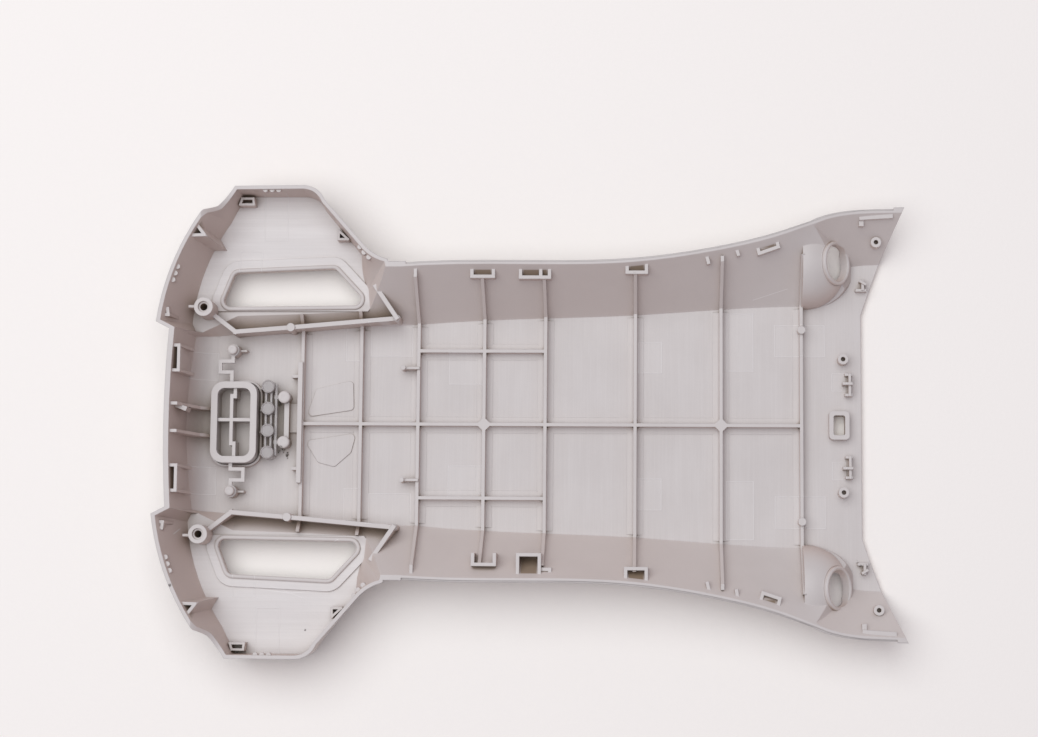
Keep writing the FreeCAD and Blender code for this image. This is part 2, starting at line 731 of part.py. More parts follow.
def fin(name, profile, y):
    """An upright fin across the end wall, cut to a profile of (x, z) points."""
    wall = size("clip_wall")
    points = [Vector(x, y - wall / 2, z) for x, z in profile]
    return solid(name, Part.Face(Part.makePolygon(points + points[:1])).extrude(Vector(0, wall, 0)))


def end_cove():
    """The wide hollow curve between the tray's floor and its end wall, as one bar along the wall."""
    foot, low = -size("left_foot"), size("floor_top")
    half = size("left_half_width") + 1.5
    through = [(-3.4, 20.0), (-2.4, 13.0), (-1.2, 8.4), (0.8, 4.7), (3.5, 2.0), (6.8, 0.5),
               (10.5, 0.0)]
    curve = Part.BSplineCurve()
    curve.interpolate([Vector(foot + x, -half, low + z - 0.05) for x, z in through])
    start, finish = curve.StartPoint, curve.EndPoint
    corners = [finish, Vector(finish.x, -half, low - 1), Vector(foot - 10, -half, low - 1),
               Vector(foot - 10, -half, start.z), start]
    sides = [Part.LineSegment(a, b).toShape() for a, b in zip(corners, corners[1:])]
    return solid("end_cove", Part.Face(Part.Wire([curve.toShape()] + sides)).extrude(Vector(0, 2 * half, 0)))


def left_wall_details():
    """Two brackets with long legs and two gussets on the end wall behind the button, and the wall's cove."""
    items = [end_cove()]
    leg = [(-137, 28.8), (-130.6, 28.8), (-128.4, 12.5), (-137, 12.5)]
    for side in (1, -1):
        near, far = side * 17.8, side * 27.2
        items += walls(f"end_bracket_{side}", [(-131.2, near), (-131.2, far)], "28.8", "clip_wall")
        items.append(fin(f"end_bracket_near_{side}", leg, near))
        items.append(fin(f"end_bracket_far_{side}", leg, far))
    low = size("floor_top")
    profile = [(-137, 28.6), (-131.3, 28.6), (-129.2, 20.5), (-126.0, 11.2), (-122.6, low + 4.4),
               (-122.6, low - 1), (-137, low - 1)]
    items.append(fin("end_gusset_upper", profile, 5.4))
    items.append(fin("end_gusset_lower", profile, -4.9))
    items.append(bar("end_gusset_bump", ("-132.2", "5.0"), ("-129.4", "3.9"), "1.7", "17", "24.5"))
    return items


def end_details(side):
    """Clips on the end strip and the bar under the rim beside a tip."""
    y = side
    items = []
    items += walls(f"end_clip_{side}", [(120.4, y * 11.8), (120.4, y * 19.5)], "5.5", "1.0")
    items += walls(f"end_clip_middle_{side}", [(118.1, y * 16.0), (120.9, y * 16.0)], "6.5", "1.0")
    items += walls(f"end_clip_inner_{side}", [(119.1, y * 11.8), (120.9, y * 11.8)], "5.2", "1.0")
    items += walls(f"end_clip_outer_{side}", [(119.1, y * 19.5), (120.9, y * 19.5)], "5.2", "1.0")
    items += walls(f"stub_base_{side}", [(123.4, y * 51.9), (126.4, y * 51.9)], "4.4", "1.1")
    items += walls(f"stub_stem_{side}", [(125.6, y * 52.4), (125.6, y * 55.4)], "4.8", "1.1")
    items += walls(f"stub_cross_{side}", [(124.8, y * 55.2), (126.4, y * 54.2)], "5.4", "1.0")
    inner, outer = f"{y} * (tip_half_width - 1.4)", f"{y} * (tip_half_width - 0.8)"
    items.append(bar(f"tip_bar_{side}", ("124.4", inner), ("134.4", outer), "2.6", "1", "rim_tip - 0.2"))
    items.append(bar(f"tip_bar_leg_{side}", ("124.0", f"{y} * (tip_half_width - 4)"), ("124.0", inner),
                     "1.8", "1", "rim_tip - 1.2"))
    return items


def rounded(points, radius, low, high):
    """An upright prism on a polygon with its corners rounded."""
    body = prism(points, low, high)
    upright = [edge for edge in body.Edges if edge.BoundBox.ZLength > 0.99 * (high - low)]
    return body.makeFillet(radius, upright)


def wing_opening(side, border, low, high):
    """The four-cornered opening of a wing, or its outline with a border around it."""
    inner, outer = size("opening_inner_y"), size("opening_outer_y")
    corners = [
        Vector(-size("opening_bottom_left"), inner, 0),
        Vector(-size("opening_bottom_right"), inner + 0.5 * size("opening_skew"), 0),
        Vector(-size("opening_top_right"), outer + 0.3, 0),
        Vector(-size("opening_top_left"), outer - size("opening_skew"), 0),
    ]
    points = [(point.x, side * point.y) for point in (grown(corners, border) if border else corners)]
    return rounded(points, 2.5 + border, low, high)


def window_frames(side):
    """The raised border and the thin lip around the opening of a wing."""
    floor = size("wing_floor")
    low = floor - 1.2
    border = wing_opening(side, size("opening_border"), low, floor + size("opening_border_height"))
    lip = wing_opening(side, size("opening_lip"), low, floor + size("opening_lip_height"))
    crease_y = 30 + size("opening_inner_y") - 1.6
    crease_side = Part.makeBox(80, 60, 30, Vector(-130, -30 + side * crease_y, 0))
    return [solid(f"opening_border_{side}", border.common(crease_side)), solid(f"opening_lip_{side}", lip)]


def along_port(name, side, radius, start, finish):
    """A round piece on a port's own axis, from one distance along it to another."""
    middle, facing = port_axis(side)
    item = doc.addObject("Part::Cylinder", name)
    item.setExpression("Radius", formula(radius))
    item.setExpression("Height", formula(f"({finish}) - ({start})"))
    item.Placement = Placement(middle + facing * value(start), Rotation(Vector(0, 0, 1), facing))
    return item


def port_rings(side):
    """A port's ring, the sleeve one step behind it, and the dome that carries both out of the slope."""
    middle, facing = port_axis(side)
    reach = math.sqrt(size("port_dome") ** 2 - size("port_sleeve") ** 2)
    dome = Part.makeSphere(size("port_dome"), middle - facing * (reach + size("port_step")))
    behind_rib = Part.makeBox(60, 400, 120, Vector(size("rib_eight") - 60, -200, -60))
    return [
        along_port(f"port_ring_{side}", side, "port_ring", "-port_length", "0"),
        along_port(f"port_sleeve_{side}", side, "port_sleeve", "-port_length", "-port_step"),
        solid(f"port_dome_{side}",
              dome.cut(in_front(middle - facing * size("port_step"), facing)).cut(behind_rib)),
    ]


def button_outline(border, low, high, radius_change=0.0):
    """The rounded block of the button's outline, with a border around it."""
    half_x = size("button_width") / 2 + border
    half_y = size("button_length") / 2 + border
    x = size("button_x")
    points = [(x - half_x, -half_y), (x + half_x, -half_y), (x + half_x, half_y), (x - half_x, half_y)]
    return rounded(points, size("button_corner") + border + radius_change, low, high)


def stakes():
    """The pins that hold the button's two arms and the light guide's two lugs, with their formed heads."""
    items = []
    for name, end in (("upper", "stake_upper_y"), ("lower", "stake_lower_y")):
        place = ("stake_x", end)
        lifted = "arm_bottom + arm_thickness + travel + stake_clearance"
        items += [
            post(f"stake_foot_{name}", (*place, "1"), "eyelet_radius", "arm_bottom - 1.1"),
            post(f"stake_pin_{name}", (*place, "1"), "stake_radius", f"{lifted} - 0.5"),
            post(f"stake_head_{name}", (*place, lifted), "stake_head", "1.1"),
            block(f"stake_fin_{name}", ("stake_x + 1.5", f"{end} - 0.4", "1"),
                  ("stake_x + 4.8", f"{end} + 0.4", "6")),
        ]
    for name in ("upper", "lower"):
        place = ("guide_pin_x", f"guide_pin_{name}")
        items += [
            post(f"guide_foot_{name}", (*place, "1"), "guide_head - 0.2", "guide_lug_bottom - 1"),
            post(f"guide_pin_{name}", (*place, "1"), "stake_radius", "guide_lug_top - 0.5"),
            post(f"guide_head_{name}", (*place, "guide_lug_top"), "guide_head - 0.1", "1.2"),
        ]
    items.append(block("guide_bridge", ("guide_pin_x - 0.3", "guide_pin_lower + 1", "1"),
                       ("guide_pin_x + 1.6", "guide_pin_upper - 1", "guide_lug_bottom - 0.4")))
    for index in range(4):
        y = f"guide_first_y - {index} * guide_pitch"
        items.append(block(f"guide_fin_{index}",
                           ("button_x + button_width / 2 + window_clearance + 0.2", f"{y} - 0.9", "1"),
                           ("guide_x - guide_radius - 0.2", f"{y} - 0.1", "6.4")))
    return items


def housing():
    """The one-piece moulding: shell, ribs, bosses, sockets and pins, with its openings and bores."""
    grown_items = rib_details() + plate_pads() + slope_sockets() + left_wall_details()
    cut_items = [
        solid("button_window", button_outline(size("window_clearance"), -1, 20)),
        solid("end_slot", rounded([(size("slot_x") - size("slot_width") / 2, -3.5),
                                   (size("slot_x") + size("slot_width") / 2, -3.5),
                                   (size("slot_x") + size("slot_width") / 2, size("slot_length") - 3.5),
                                   (size("slot_x") - size("slot_width") / 2, size("slot_length") - 3.5)],
                                  0.8, -1, 10)),
    ]
    collar = size("slot_collar")
    reach = size("slot_width") / 2 + collar
    grown_items.append(solid("slot_rim", rounded(
        [(size("slot_x") - reach, -3.5 - collar), (size("slot_x") + reach, -3.5 - collar),
         (size("slot_x") + reach, size("slot_length") - 3.5 + collar),
         (size("slot_x") - reach, size("slot_length") - 3.5 + collar)], 1.6, 1, size("slot_top"))))
    grown_items.append(solid("window_guide", button_outline(
        size("window_clearance") + size("window_guide"), 1, size("window_guide_top"))))
    for side in (1, -1):
        grown_items += long_ribs(side) + screw_bosses(side) + wing_details(side) + end_details(side)
        grown_items += window_frames(side) + port_rings(side)
        cut_items += screw_bores(side)
        opening_top = size("wing_floor") + 7
        cut_items.append(solid(f"wing_opening_{side}", wing_opening(side, 0, -1, opening_top)))
        cut_items.append(along_port(f"port_bore_{side}", side, "port_bore", "-port_length - 6", "4"))
    for index in range(4):
        y = f"guide_first_y - {index} * guide_pitch"
        cut_items.append(post(f"guide_window_{index}", ("guide_x", y, "-1"), "guide_nib + 0.2", "4"))
    inside = shared("inner_features", [joined("raised_features", grown_items), outer_form])
    solid_part = joined("housing_solid", [shell, plate_ribs(), inside])
    opened = without("housing_opened", solid_part, joined("housing_cuts", cut_items))
    return joined("housing", [opened] + stakes())


def arms(name, route, eyelet):
    """A springy arm of the button: slats along its route and the eyelet at its end."""
    items = []
    top = "arm_bottom + arm_thickness"
    for index, (start, finish) in enumerate(zip(route, route[1:])):
        items.append(bar(f"arm_{name}_{index}", start, finish, "arm_wall", "arm_bottom", top))
    items.append(post(f"eyelet_{name}", (*eyelet, "arm_bottom"), "eyelet_radius", "arm_thickness"))
    return items


def power_button():
    """The push button: a capped ring with a cross inside and two springy arms that end in eyelets."""
    ring = button_outline(0, size("button_recess"), size("button_top"))
    well_low = size("button_recess") + size("button_cap")
    ring = ring.cut(button_outline(-size("button_ring"), well_low, size("button_top") + 1, 0.4))
    x, top = "button_x", "button_cross_top"
    low = "button_recess + 0.5"
    pieces = [solid("button_ring", ring)]
    for index, (start, finish) in enumerate([
        ((f"{x} - 1.1", "-8.2"), (f"{x} - 1.1", "10.2")),
        ((f"{x} + 0.2", "9.8"), (f"{x} + 0.2", "14.0")),
        ((f"{x} + 0.1", "-14.0"), (f"{x} + 0.1", "-8.0")),
        ((f"{x} - 7.2", "1.0"), (f"{x} + 7.2", "1.0")),
    ]):
        pieces.append(bar(f"button_cross_{index}", start, finish, "button_cross", low, top))
    upper = [("stake_x - 0.3", "14.6"), ("stake_x - 0.3", "19.3"), ("stake_x - 4.8", "19.3"),
             ("stake_x - 4.8", "23.5"), ("stake_x", "23.5"), ("stake_x", "stake_upper_y")]
    lower = [("stake_x - 0.1", "-14.6"), ("stake_x - 0.1", "-17.8"), ("stake_x + 4.8", "-17.8"),
             ("stake_x + 4.8", "-22.0"), ("stake_x", "-22.0"), ("stake_x", "stake_lower_y")]
    pieces += arms("upper", upper, ("stake_x", "stake_upper_y"))
    pieces += arms("lower", lower, ("stake_x", "stake_lower_y"))
    holes = [post(f"eyelet_hole_{name}", ("stake_x", f"stake_{name}_y", "arm_bottom - 1"),
                  "stake_radius + stake_clearance", "arm_thickness + 2") for name in ("upper", "lower")]
    return without("power_button", joined("button_solid", pieces), joined("eyelet_holes", holes))


def light_guide():
    """The clear moulding: four light pipes on one frame, with a lug at each pin."""
    pieces = []
    frame_x = "guide_x + 2.9"
    for index in range(4):
        y = f"guide_first_y - {index} * guide_pitch"
        pieces.append(post(f"pipe_{index}", ("guide_x", y, "floor_top + guide_seat"), "guide_radius",
                           "guide_top - floor_top - guide_seat"))
        pieces.append(post(f"nib_{index}", ("guide_x", y, "0.3"), "guide_nib", "floor_top + 0.5"))
    for index in range(3):
        for offset in (1.0, -1.0):
            x = f"guide_x + {offset}"
            pieces.append(bar(f"link_{index}_{'ab'[offset < 0]}",
                              (x, f"guide_first_y - {index} * guide_pitch - 1.6"),
                              (x, f"guide_first_y - {index + 1} * guide_pitch + 1.6"), "0.8",
                              "guide_lug_bottom - 0.4", "guide_lug_top"))
    low, high = "guide_lug_bottom", "guide_lug_top"
    pieces.append(bar("frame", (frame_x, "guide_first_y + 0.6"),
                      (frame_x, "guide_first_y - 3 * guide_pitch - 0.6"), "guide_frame", low, high))
    for index in range(4):
        y = f"guide_first_y - {index} * guide_pitch"
        pieces.append(bar(f"frame_link_{index}", ("guide_x + 1.6", y), (frame_x, y), "0.9", low, high))
    holes = []
    for name in ("upper", "lower"):
        y = f"guide_pin_{name}"
        pieces.append(post(f"lug_{name}", ("guide_pin_x", y, "guide_lug_bottom"), "guide_head",
                           "guide_lug_top - guide_lug_bottom"))
        pieces.append(bar(f"lug_link_{name}", (frame_x, y), ("guide_pin_x - 1.5", y), "1.4", low, high))
        holes.append(post(f"lug_hole_{name}", ("guide_pin_x", y, "guide_lug_bottom - 1"),
                          "stake_radius + stake_clearance", "4"))
    return without("light_guide", joined("guide_solid", pieces), joined("lug_holes", holes))


pieces = [housing(), power_button(), light_guide()]
doc.recompute()
for item in doc.Objects:
    if "Invalid" in item.State or "Error" in item.State:
        raise RuntimeError(f"{item.Name} did not build")
for item in pieces:
    if item.Shape.isNull() or not item.Shape.isValid():
        raise RuntimeError(f"{item.Name} has no valid shape")
os.makedirs("parts", exist_ok=True)
for item in pieces:
    item.Label = item.Name
    item.Shape.exportStep(f"parts/{item.Label}.step")
    print(item.Label, round(item.Shape.Volume), "mm3 in", len(item.Shape.Solids), "solid")
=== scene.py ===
from math import radians

import bmesh
import bpy
import numpy as np
from bpy.props import FloatProperty, FloatVectorProperty, PointerProperty
from bpy.types import Operator, Panel, PropertyGroup
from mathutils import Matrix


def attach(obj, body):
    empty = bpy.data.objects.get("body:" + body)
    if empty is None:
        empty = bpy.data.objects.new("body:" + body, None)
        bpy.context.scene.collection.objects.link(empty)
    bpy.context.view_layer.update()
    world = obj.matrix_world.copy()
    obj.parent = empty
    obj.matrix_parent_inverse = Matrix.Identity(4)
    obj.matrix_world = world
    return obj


bl_info = {
    "name": "Moulded housing half",
    "version": (1, 0, 0),
    "blender": (4, 5, 0),
    "location": "3D View > Sidebar > Housing",
    "description": "Dresses the winged moulded housing with its finishes, rims and pins",
    "category": "Object",
}

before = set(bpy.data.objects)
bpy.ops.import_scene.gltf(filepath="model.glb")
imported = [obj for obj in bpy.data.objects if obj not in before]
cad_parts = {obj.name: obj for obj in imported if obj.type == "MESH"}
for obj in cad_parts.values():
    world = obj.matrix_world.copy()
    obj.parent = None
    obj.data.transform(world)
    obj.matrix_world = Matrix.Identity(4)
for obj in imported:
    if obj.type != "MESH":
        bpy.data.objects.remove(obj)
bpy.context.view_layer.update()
MM = 0.001

# Places on the housing, in millimetres. Where both long sides have one, y is the distance from the middle.
TRAY_FLOOR = 2.0
WING_FLOOR = 8.0
RIB_HALF = 0.65
CROSS_RIBS = (-87.9, -65.3, -43.3, -18.1, 5.2, 39.4, 71.9, 102.2)
SHORT_RIB_Y = 28.1
SHORT_RIB_CELLS = (2, 3)
CREASE = ((-113, -89, -63, -43.5, 0, 39, 71.3, 96.8, 119.9),
          (34.8, 35.7, 37.3, 38.6, 41.0, 42.4, 44.6, 45.8, 46.0))  # where the floor meets the slope: x, y
OPENING = ((-119.4, 44.4), (-62.4, 45.1), (-75.6, 59.3), (-114.2, 57.6))
OPENING_CORNER = 2.5
PORT = (115.3, 61.2, 11.0)
PORT_TILT = 51.0
PORT_BORE, PORT_RING, PORT_SLEEVE, PORT_STEP = 6.9, 8.4, 8.9, 1.2
BUTTON_PINS = ((-114.3, 27.8, 10.95), (-114.3, -26.2, 10.95))
GUIDE_PINS = ((-94.3, 9.8, 9.0), (-94.3, -7.4, 9.0))
GUIDE_PIPES = ((-100.4, 13.8), (-100.4, 5.4), (-100.4, -3.0), (-100.4, -11.4))
GUIDE_TOP = 9.6

# Sizes of the added forms, in millimetres.
HAIR = 0.02  # keeps a form's side just off the face beside it
FOOT_DEPTH = 0.6
CELL_CORNER = 2.4
COVE_SINK = (-0.7, -0.3)  # how far the cove's back reaches into the rib and into the floor
LIP_WIDTH, LIP_HEIGHT = 1.5, 1.1
BUTTON_PIN_RADIUS, GUIDE_PIN_RADIUS, PIN_DEPTH = 1.85, 2.3, 0.9
DIMPLE_DEPTH, DIMPLE_SHARE = 0.22, 0.45
GUIDE_RING_INNER, GUIDE_RING_OUTER, GUIDE_RING_HEIGHT = 1.95, 2.52, 0.28

# Outlines that the mould's own plates left on the floors: low x, low y, high x, high y.
WITNESS_MARKS = (
    (74.0, 21.0, 84.2, 43.0), (-62.0, 26.4, -46.0, 38.4), (-31.7, 15.7, -18.8, 27.5),
    (-103.2, 70.2, -94.4, 88.0), (-130.8, 16.8, -121.1, 27.2), (-71.6, 24.5, -66.3, 36.6),
    (92.4, 26.6, 111.2, 38.6), (40.6, 20.2, 49.4, 32.0), (114.0, 13.5, 119.0, 20.2),
    (-112.4, 46.0, -104.0, 66.0),
)
# Scratches: start, end and width.
SCRATCHES = (((-107.6, -62.5), (-91.0, -64.6), 0.35), ((-91.0, -64.6), (-75.3, -63.3), 0.3),
             ((-98.0, -61.9), (-86.0, -66.2), 0.22), ((-133.4, -43.0), (-132.1, -40.9), 0.4),
             ((-82.0, -49.0), (-72.5, -44.2), 0.3), ((84.0, 48.0), (97.0, 52.0), 0.2))
# Insides of the clip sockets and small tubes, darkened with painted brown shade: low x, low y, high x, high
# y, height of the top, how brown.
SHADED_POCKETS = (
    (-21.4, 54.9, -14.5, 59.0, 22.5, 0.8), (-3.1, 54.6, 6.6, 59.5, 22.5, 0.8),
    (36.9, 56.5, 42.9, 61.0, 22.5, 0.8),
    (-3.2, -60.0, 3.7, -50.5, 22.5, 0.85), (36.8, -61.0, 43.2, -55.3, 22.5, 0.9),
    (86.0, 65.3, 91.8, 71.0, 20.5, 0.75), (86.2, -71.0, 91.8, -65.3, 20.5, 0.85),
    (-132.0, 68.3, -123.6, 76.0, 28.3, 0.55), (-132.0, -76.0, -123.6, -68.3, 28.3, 0.55),
    (-111.6, 84.0, -107.4, 85.6, 12.8, 0.5), (-111.6, -85.6, -107.4, -84.0, 12.8, 0.5),
    (-73.6, 70.5, -71.2, 72.5, 12.8, 0.5), (-73.6, -72.5, -71.2, -70.5, 12.8, 0.5),
)
# Dark specks: x, y and radius.
SPECKS = ((-132.0, -62.4, 0.8), (122.9, -51.0, 0.8), (124.0, -52.5, 0.6), (-84.6, -78.4, 0.5),
          (-97.2, 7.7, 1.5), (-95.3, -9.6, 1.1), (-93.7, -11.9, 0.9))
# Heaps of crumbs beside the light guide's pins: x, y, spread and how many.
CRUMBS = ((-97.0, 8.3, 0.9, 5), (-95.4, -10.4, 1.1, 7), (-93.4, -12.2, 0.8, 4))

# The stage, in metres and degrees.
FLOOR_REACH = 4.0
LAMP_SIZE, LAMP_PLACE, LAMP_COLOUR = 2.0, (-0.34, 0.27, 1.42), (0.93, 0.972, 0.98)
SKY_COLOUR = (0.99, 0.90, 1.02, 1.0)
CAMERA_PLACE = (0.0434166, -0.0771195, 0.8612111)
CAMERA_TURN = (6.589258606, 3.167624505, 0.548814631)
CAMERA_LENS = 78.48


# ---------------------------------------------------------------- settings

class HousingFinish(PropertyGroup):
    """Colours and surface of the grey moulding."""

    shell_colour: FloatVectorProperty(
        name="Shell colour", description="Colour of the bare moulded plastic",
        subtype="COLOR", size=3, min=0, max=1, default=(0.575, 0.534, 0.518))
    mottle_colour: FloatVectorProperty(
        name="Mottle colour", description="Darker colour that the plastic drifts to in soft patches",
        subtype="COLOR", size=3, min=0, max=1, default=(0.530, 0.489, 0.472))
    # Besides wear, marks and scratches, this lighter colour paints a highlight along outward edges and
    # lightens the wing floors.
    worn_and_highlight_colour: FloatVectorProperty(
        name="Worn and highlight colour", description="Lighter colour of rubbed edges, marks and scratches",
        subtype="COLOR", size=3, min=0, max=1, default=(0.760, 0.730, 0.720))
    # Painted shade: this brown darkens the hollows, corners and narrow sockets of the shell and the button
    # where shade falls, with the warm cast of light bounced inside them.
    painted_shade_colour: FloatVectorProperty(
        name="Painted shade colour", description="Brown that narrow sockets and corners sink to",
        subtype="COLOR", size=3, min=0, max=1, default=(0.235, 0.165, 0.105))
    # Painted bounce light and shade: upright walls take this warmer colour in place of the warm light
    # bounced onto them from the floors.
    painted_bounce_colour: FloatVectorProperty(
        name="Painted bounce colour", description="Warmer colour that upright walls take from the floors beside them",
        subtype="COLOR", size=3, min=0, max=1, default=(0.625, 0.500, 0.442))
    dirt_colour: FloatVectorProperty(
        name="Dirt colour", description="Colour of the dark specks beside the pins",
        subtype="COLOR", size=3, min=0, max=1, default=(0.10, 0.085, 0.075))
    guide_colour: FloatVectorProperty(
        name="Light guide colour", description="Colour of the clear light guide",
        subtype="COLOR", size=3, min=0, max=1, default=(0.52, 0.475, 0.465))
    roughness: FloatProperty(
        name="Roughness", description="Roughness of the satin moulded surface",
        subtype="FACTOR", min=0, max=1, default=0.42)
    grain_depth: FloatProperty(
        name="Grain depth", description="Depth of the fine grain left by the mould",
        subtype="DISTANCE", unit="LENGTH", min=0, max=0.001, default=0.00003)
    edge_radius: FloatProperty(
        name="Edge radius", description="Softness of every moulded edge",
        subtype="DISTANCE", unit="LENGTH", min=0, max=0.002, default=0.00035)


class HousingDetail(PropertyGroup):
    """Sizes of the small rounded forms on the moulding."""

    cove_width: FloatProperty(
        name="Cove width", description="How far the hollow curve beside a rib runs out on the tray's floor",
        subtype="DISTANCE", unit="LENGTH", min=0.0002, max=0.004, default=0.0025)
    cove_height: FloatProperty(
        name="Cove height", description="How high that curve climbs up the rib",
        subtype="DISTANCE", unit="LENGTH", min=0.0002, max=0.003, default=0.0007)
    bead_height: FloatProperty(
        name="Bead height", description="How far the rounded bead stands on the lip of a wing's opening",
        subtype="DISTANCE", unit="LENGTH", min=0.0001, max=0.002, default=0.0004)
    collar_height: FloatProperty(
        name="Collar height", description="How far the rounded lip stands on the ring of a port",
        subtype="DISTANCE", unit="LENGTH", min=0.0001, max=0.002, default=0.0006)
    dome_height: FloatProperty(
        name="Dome height", description="Height of the melted dome on each pin",
        subtype="DISTANCE", unit="LENGTH", min=0.0001, max=0.002, default=0.0005)


class StageSettings(PropertyGroup):
    """Floor and light."""

    floor_colour: FloatVectorProperty(
        name="Floor colour", description="Colour of the plain floor",
        subtype="COLOR", size=3, min=0, max=1, default=(0.915, 0.875, 0.835))
    key_power: FloatProperty(
        name="Key lamp", description="Power of the large soft lamp, in watts",
        min=0, max=1000, default=22.8)
    sky_strength: FloatProperty(
        name="Sky", description="Strength of the even light from all round",
        min=0, max=2, default=0.34)


# ---------------------------------------------------------------- shader maths

class Wire:
    """An output socket in a material; sums written on wires add Math nodes."""

    def __init__(self, finish, socket):
        self.finish = finish
        self.socket = socket

    def maths(self, operation, *terms):
        return self.finish.add("ShaderNodeMath", {"operation": operation}, dict(enumerate(terms)))

    def __add__(self, other):
        return self.maths("ADD", self, other)

    def __radd__(self, other):
        return self.maths("ADD", other, self)

    def __sub__(self, other):
        return self.maths("SUBTRACT", self, other)

    def __rsub__(self, other):
        return self.maths("SUBTRACT", other, self)

    def __mul__(self, other):
        return self.maths("MULTIPLY", self, other)

    def __rmul__(self, other):
        return self.maths("MULTIPLY", other, self)

    def __abs__(self):
        return self.maths("ABSOLUTE", self)

    def atleast(self, other):
        return self.maths("MAXIMUM", self, other)

    def atmost(self, other):
        return self.maths("MINIMUM", self, other)

    def rise(self, start, end):
        """0 up to start, 1 from end, and a smooth step between them."""
        return self.finish.add(
            "ShaderNodeMapRange", {"interpolation_type": "SMOOTHSTEP"},
            {0: self, 1: start, 2: end, 3: 0.0, 4: 1.0})

    def fall(self, start, end):
        """1 up to start, 0 from end, and a smooth step between them."""
        return 1.0 - self.rise(start, end)


class Finish:
    """A material's nodes, which all come from add(). x, y and z are the place in millimetres."""

    def __init__(self, name):
        self.material = bpy.data.materials.new(name)
        self.material.use_nodes = True
        self.tree = self.material.node_tree
        self.tree.nodes.clear()
        self.place = self.add("ShaderNodeTexCoord", {}, {}, "Object")
        self.x, self.y, self.z = (
            self.add("ShaderNodeSeparateXYZ", {}, {0: self.place}, axis) * (1 / MM) for axis in range(3))

    def add(self, kind, settings, sockets, output=0):
        """Adds a node of this kind, sets its settings, then its sockets, and gives one output."""
        node = self.tree.nodes.new(kind)
        for key, value in settings.items():
            setattr(node, key, value)
        for key, value in sockets.items():
            if isinstance(value, Wire):
                self.tree.links.new(value.socket, node.inputs[key])
            else:
                node.inputs[key].default_value = value
        return Wire(self, node.outputs[output])

    def noise(self, size, detail=2.0, roughness=0.5):
        """Soft noise between 0 and 1 whose patches are about size millimetres across."""
        return self.add("ShaderNodeTexNoise", {}, {
            "Vector": self.place, "Scale": 1 / (size * MM), "Detail": detail, "Roughness": roughness})

    def streaks(self, across_x, across_y):
        """Noise whose streaks are these many millimetres across in x and y."""
        scale = (1 / (across_x * MM), 1 / (across_y * MM), 20.0)
        place = self.add("ShaderNodeMapping", {}, {"Vector": self.place, "Scale": scale})
        return self.add("ShaderNodeTexNoise", {}, {
            "Vector": place, "Scale": 1.0, "Detail": 3.0, "Roughness": 0.6})

    def blend(self, amount, first, second):
        """A colour between first and second."""
        return self.add("ShaderNodeMix", {"data_type": "RGBA"}, {0: amount, 6: first, 7: second}, 2)

    def bump(self, height, depth, normal):
        """A normal that follows a height of 0 to 1, whose full rise is depth in metres."""
        return self.add("ShaderNodeBump", {}, {
            "Strength": 1.0, "Distance": depth, "Height": height, "Normal": normal})

    def rounded(self, radius):
        """A normal that softens every edge by radius."""
        return self.add("ShaderNodeBevel", {"samples": 6}, {"Radius": radius})

    def at_edges(self, normal, openness):
        """1 where a softened normal leans away from the face's own on an outward edge, 0 elsewhere."""
        face = self.add("ShaderNodeNewGeometry", {}, {}, "Normal")
        alike = self.add("ShaderNodeVectorMath", {"operation": "DOT_PRODUCT"}, {0: normal, 1: face},
                         "Value")
        return (1.0 - alike).rise(0.02, 0.3) * openness.rise(0.72, 0.92)

    def openness(self, reach):
        """1 in the open, 0 where everything is closed in within reach metres."""
        return self.add("ShaderNodeAmbientOcclusion", {"samples": 8}, {"Distance": reach}, "AO")

    def level(self):
        """1 where the surface lies flat, 0 where it stands upright or faces down."""
        face = self.add("ShaderNodeNewGeometry", {}, {}, "Normal")
        return self.add("ShaderNodeSeparateXYZ", {}, {0: face}, 2)

    def layer(self, low, high):
        """1 between two heights in millimetres."""
        return self.z.rise(low - 0.1, low) * self.z.fall(high, high + 0.1)

    def outline(self, mark, across):
        """Distance outside a rectangle of x and y in millimetres, less than nothing inside."""
        low_x, low_y, high_x, high_y = mark
        beside = abs(self.x - (low_x + high_x) / 2) - (high_x - low_x) / 2
        return beside.atleast(abs(across - (low_y + high_y) / 2) - (high_y - low_y) / 2)

    def segment(self, start, end, wide):
        """1 on the line between two (x, y) points, fading out to half its width on either side."""
        run = (end[0] - start[0], end[1] - start[1])
        square = run[0] ** 2 + run[1] ** 2
        along = (self.x - start[0]) * (run[0] / square) + (self.y - start[1]) * (run[1] / square)
        along = along.atleast(0.0).atmost(1.0)
        off_x = self.x - start[0] - along * run[0]
        off_y = self.y - start[1] - along * run[1]
        return (off_x * off_x + off_y * off_y).fall(0.0, (wide / 2) ** 2)

    def spot(self, x, y, radius):
        """1 in the middle of a round spot, fading out to its radius."""
        off_x, off_y = self.x - x, self.y - y
        return (off_x * off_x + off_y * off_y).fall(0.1 * radius ** 2, radius ** 2)

    def surface(self, **sockets):
        """Ends the material in one shader with these sockets."""
        shader = self.add("ShaderNodeBsdfPrincipled", {}, {
            key.replace("_", " ").title().replace("Ior", "IOR"): value
            for key, value in sockets.items()})
        output = self.tree.nodes.new("ShaderNodeOutputMaterial")
        self.tree.links.new(shader.socket, output.inputs["Surface"])
        return self.material


def rgba(colour):
    return (*colour, 1.0)


def use(item, material):
    item.data.materials.clear()
    item.data.materials.append(material)


# ---------------------------------------------------------------- surfaces

def skin(rows, columns, round_rows):
    """Quads of a grid of points whose columns close into a ring, and whose rows may."""
    row, column = np.meshgrid(np.arange(rows - (not round_rows)), np.arange(columns), indexing="ij")
    after, down = (column + 1) % columns, (row + 1) % rows
    corners = (row * columns + column, row * columns + after,
               down * columns + after, down * columns + column)
    return np.stack(corners, axis=-1).reshape(-1, 4)


